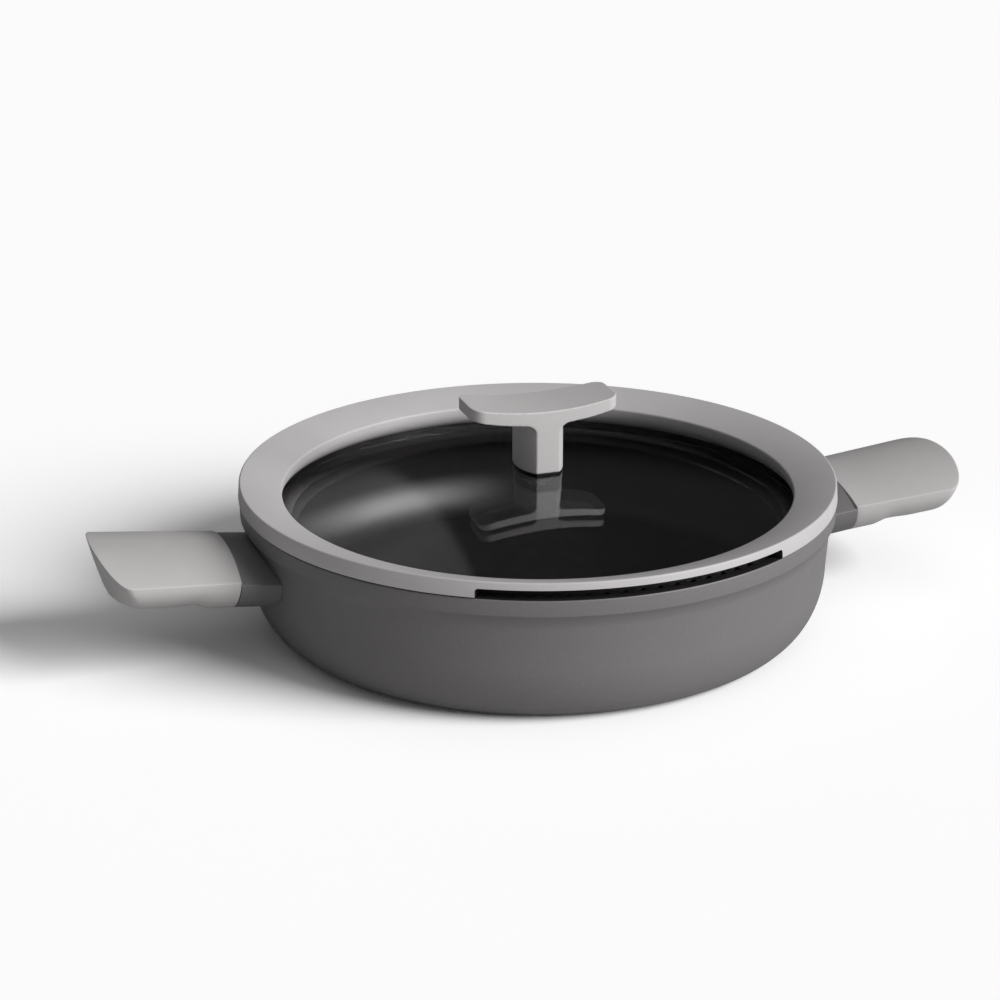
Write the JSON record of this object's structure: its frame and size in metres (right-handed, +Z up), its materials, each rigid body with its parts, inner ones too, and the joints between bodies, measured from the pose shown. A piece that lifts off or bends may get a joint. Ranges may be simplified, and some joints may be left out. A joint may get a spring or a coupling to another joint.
{
  "type": "saute pan with lid",
  "caption": "Low round saute pan with two short broad grips and a domed glass lid with a wide rim, a low pouring slot and a T-shaped knob.",
  "frame": {"origin": "middle of the pan's base, on the plane that it stands on", "axes": "+Z up, +X along the right handle; the pouring slot of the lid looks along -Y"},
  "size_m": [0.4402, 0.2908, 0.1118],
  "materials": {
    "pan_coating": "cast aluminium with a matte dark grey coating, darker inside",
    "steel_plate": "circular brushed",
    "neck_coating": "matte dark grey",
    "inner_steel": "plain bright steel",
    "soft_grey": "soft-touch matte light grey",
    "lid_glass": "clear polished",
    "rim_grey": "matte light grey silicone",
    "dark_seal": "matte dark grey silicone",
    "brass_insert": "plain"
  },
  "bodies": {
    "pan": {"pan_body": "pan_coating", "induction_plate": "steel_plate", "neck_left": "neck_coating", "neck_right": "neck_coating", "tongue_left": "inner_steel", "tongue_right": "inner_steel", "grip_left": "soft_grey", "grip_right": "soft_grey", "handle_screws": "inner_steel", "handle_washers": "inner_steel", "screw_plugs": "soft_grey"},
    "lid": {"lid_glass": "lid_glass", "lid_rim": "rim_grey", "knob": "soft_grey", "knob_pad": "dark_seal", "hole_grommet": "dark_seal", "knob_insert": "brass_insert", "knob_screw": "inner_steel", "knob_washer": "inner_steel"}
  },
  "joints": [
    {"name": "lid_lift", "type": "slide", "parent": "pan", "child": "lid", "axis": [0, 0, 1], "range_m": [0, 0.12]}
  ]
}
